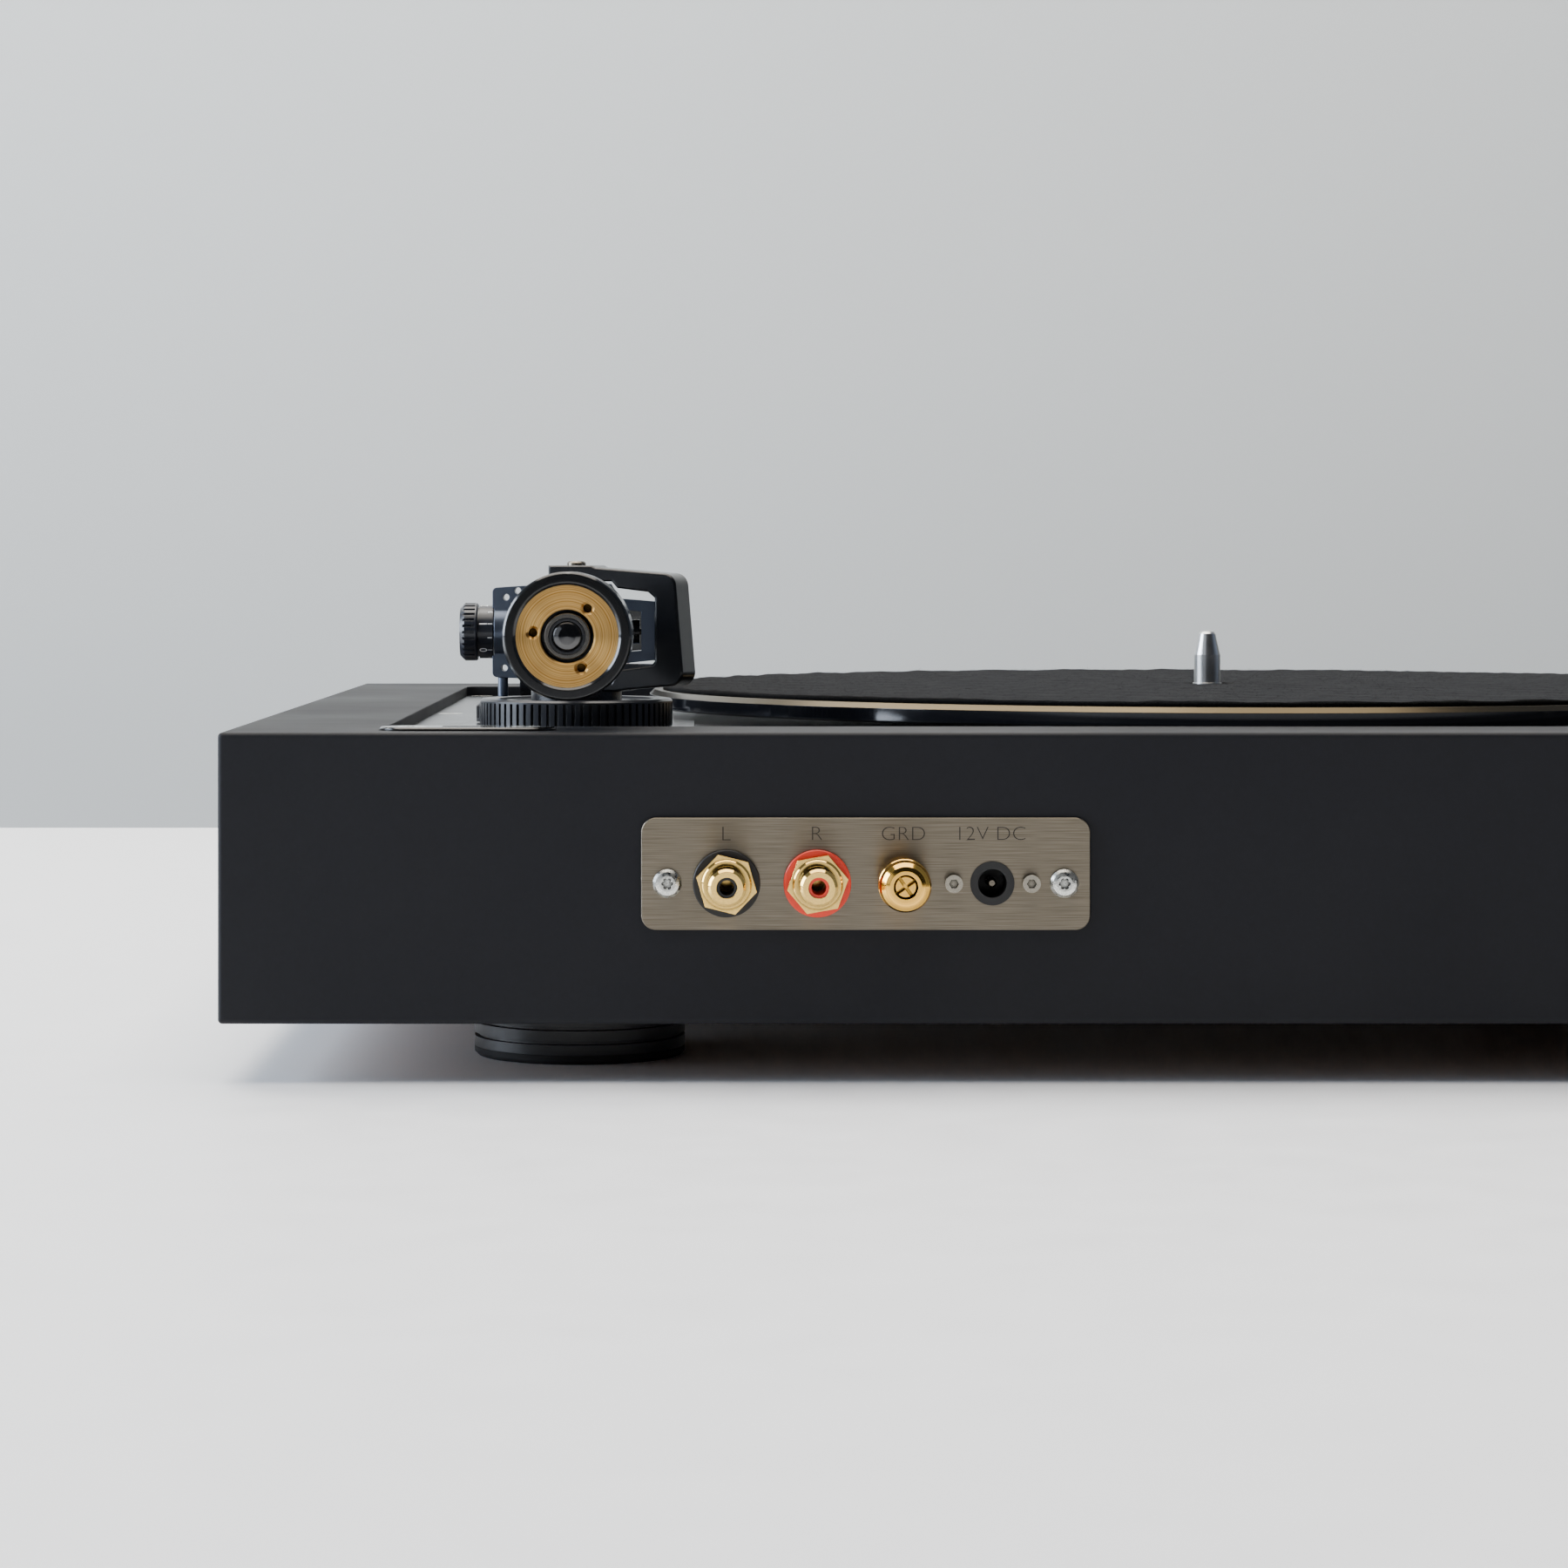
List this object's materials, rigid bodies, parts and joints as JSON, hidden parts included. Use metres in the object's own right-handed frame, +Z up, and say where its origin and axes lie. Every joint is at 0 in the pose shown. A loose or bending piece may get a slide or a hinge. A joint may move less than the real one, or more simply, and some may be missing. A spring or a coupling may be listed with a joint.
{
  "type": "turntable",
  "caption": "Belt-drive record player in a low black plinth, with a felt-matted platter, gimbal tonearm with counterweight, rear phono sockets and power inlet.",
  "frame": {"origin": "on the floor under the middle of the whole object, sockets included", "axes": "+Z up, -Y towards the front, +X towards the tonearm side"},
  "size_m": [0.445, 0.394, 0.1169],
  "materials": {
    "plinth_paint": "satin black paint on board",
    "board": "plain fibreboard",
    "deck_paint": "satin powder coat",
    "screw_steel": "zinc plated",
    "foot_plastic": "satin",
    "foot_rubber": "matt",
    "hinge_black": "gloss black",
    "plate_steel": "fine horizontal brushing",
    "washer_black": "satin",
    "washer_red": "satin",
    "gold_plate": "polished gold plate",
    "jack_black": "gloss",
    "jack_pin": "nickel plate",
    "bridge_steel": "zinc plated sheet",
    "bearing_aluminium": "turned",
    "bearing_bronze": "sintered bronze",
    "spindle_steel": "ground and polished",
    "ball_steel": "polished",
    "sub_platter_aluminium": "turned",
    "platter_aluminium": "dark gloss side, bright bevel",
    "mat_felt": "felt",
    "motor_steel": "plated can",
    "pulley_brass": "turned",
    "belt_rubber": "ground rubber",
    "circuit_green": "solder mask",
    "switch_grey": "moulded",
    "knob_black": "satin",
    "arm_black": "black anodised",
    "frame_black": "gloss black enamel",
    "tube_silver": "satin anodised",
    "pivot_steel": "blued and plated",
    "weight_black": "gloss black shell, weighted inside",
    "weight_brass": "turned face",
    "plug_black": "gloss",
    "rest_black": "satin",
    "stylus_red": "gloss"
  },
  "bodies": {
    "chassis": {"plinth_body": "plinth_paint", "base_board": "board", "panel_screws": "screw_steel", "top_plate": "deck_paint", "feet": "foot_plastic", "foot_pads": "foot_rubber", "foot_screws": "screw_steel", "cover_hinge_plates": "hinge_black", "connector_plate": "plate_steel", "connector_screws": "screw_steel", "left_socket_washer": "washer_black", "right_socket_washer": "washer_red", "phono_sockets": "gold_plate", "left_socket_insulator": "washer_black", "right_socket_insulator": "washer_red", "socket_rear_nuts": "gold_plate", "socket_contacts": "gold_plate", "ground_post": "gold_plate", "dc_jack": "jack_black", "dc_jack_pin": "jack_pin", "dc_jack_screws": "screw_steel", "drive_bridge": "bridge_steel", "bearing_housing": "bearing_aluminium", "bearing_bushes": "bearing_bronze", "motor_can": "motor_steel", "drive_belt": "belt_rubber", "circuit_board": "circuit_green", "speed_switch": "switch_grey", "arm_base_plate": "arm_black", "height_collar": "arm_black", "arm_rest": "rest_black"},
    "platter_assembly": {"platter": "platter_aluminium", "felt_mat": "mat_felt", "sub_platter": "sub_platter_aluminium", "spindle": "spindle_steel", "thrust_ball": "ball_steel"},
    "motor_rotor": {"motor_pulley": "pulley_brass"},
    "height_ring": {"height_ring": "knob_black"},
    "arm_base": {"arm_pillar": "arm_black", "gimbal_frame": "frame_black", "pivot_screws": "pivot_steel", "cue_housing": "arm_black"},
    "yoke": {"gimbal_yoke": "arm_black", "side_bearing_screws": "pivot_steel"},
    "force_dial": {"force_dial": "knob_black"},
    "tonearm": {"arm_block": "arm_black", "arm_tube": "tube_silver", "stub_plug": "plug_black", "headshell": "arm_black", "cartridge": "plug_black", "stylus": "stylus_red"},
    "weight_carrier": {"counterweight_sleeve": "tube_silver"},
    "counterweight": {"counterweight_drum": "weight_black", "counterweight_brass": "weight_brass"},
    "cue_lever": {"cue_lever": "knob_black"},
    "cue_lift": {"cue_lift": "arm_black"},
    "antiskate_knob": {"antiskate_knob": "knob_black"},
    "speed_knob": {"speed_knob": "knob_black"},
    "arm_clip": {"arm_clip": "rest_black"},
    "ground_thumb_nut": {"ground_thumb_nut": "gold_plate"}
  },
  "joints": [
    {"name": "platter_spin", "type": "hinge", "parent": "chassis", "child": "platter_assembly", "pos_m": [-0.0229, -0.007, 0.0785], "axis": [0, 0, 1], "continuous": true},
    {"name": "motor_spin", "type": "hinge", "parent": "chassis", "child": "motor_rotor", "pos_m": [-0.10991, -0.04757, 0.06], "axis": [0, 0, 1], "continuous": true},
    {"name": "height_ring_turn", "type": "hinge", "parent": "chassis", "child": "height_ring", "pos_m": [0.1449, 0.106, 0.0785], "axis": [0, 0, 1], "range_deg": [0, 270]},
    {"name": "arm_height", "type": "slide", "parent": "chassis", "child": "arm_base", "axis": [0, 0, 1], "range_m": [0, 0.006]},
    {"name": "arm_swing", "type": "hinge", "parent": "arm_base", "child": "yoke", "pos_m": [0.1449, 0.106, 0.0998], "axis": [0, 0, -1], "range_deg": [0, 41]},
    {"name": "arm_lift", "type": "hinge", "parent": "yoke", "child": "tonearm", "pos_m": [0.1449, 0.106, 0.0998], "axis": [-1, 0, 0], "range_deg": [0, 5]},
    {"name": "force_dial_turn", "type": "hinge", "parent": "yoke", "child": "force_dial", "pos_m": [0.1689, 0.106, 0.0998], "axis": [1, 0, 0], "range_deg": [0, 300]},
    {"name": "weight_travel", "type": "slide", "parent": "tonearm", "child": "weight_carrier", "axis": [0, 1, 0], "range_m": [-0.006, 0.003]},
    {"name": "weight_turn", "type": "hinge", "parent": "weight_carrier", "child": "counterweight", "pos_m": [0.1449, 0.159, 0.0998], "axis": [0, 1, 0], "range_deg": [-720, 360]},
    {"name": "cue_lever_turn", "type": "hinge", "parent": "arm_base", "child": "cue_lever", "pos_m": [0.1588, 0.06858, 0.0855], "axis": [-1, 0, 0], "range_deg": [0, 60]},
    {"name": "cue_lift_rise", "type": "slide", "parent": "arm_base", "child": "cue_lift", "axis": [0, 0, 1], "range_m": [0, 0.0039]},
    {"name": "antiskate_turn", "type": "hinge", "parent": "chassis", "child": "antiskate_knob", "pos_m": [0.1629, 0.076, 0.0785], "axis": [0, 0, 1], "range_deg": [-270, 0]},
    {"name": "speed_knob_turn", "type": "hinge", "parent": "chassis", "child": "speed_knob", "pos_m": [-0.1665, -0.135, 0.0785], "axis": [0, 0, -1], "range_deg": [-45, 45]},
    {"name": "arm_clip_swing", "type": "hinge", "parent": "chassis", "child": "arm_clip", "pos_m": [0.1521, 0.011, 0.1063], "axis": [0, -1, 0], "range_deg": [0, 180]},
    {"name": "ground_nut_turn", "type": "hinge", "parent": "chassis", "child": "ground_thumb_nut", "pos_m": [0.0696, 0.19, 0.045], "axis": [0, 1, 0], "range_deg": [-360, 0]}
  ],
  "couplings": [
    {"joint": "motor_spin", "follows": "platter_spin", "ratio": 8.1875},
    {"joint": "height_ring_turn", "follows": "arm_height", "rad_per_m": 785.39},
    {"joint": "weight_travel", "follows": "weight_turn", "m_per_rad": 0.00047746},
    {"joint": "cue_lever_turn", "follows": "cue_lift_rise", "rad_per_m": 268.5}
  ]
}
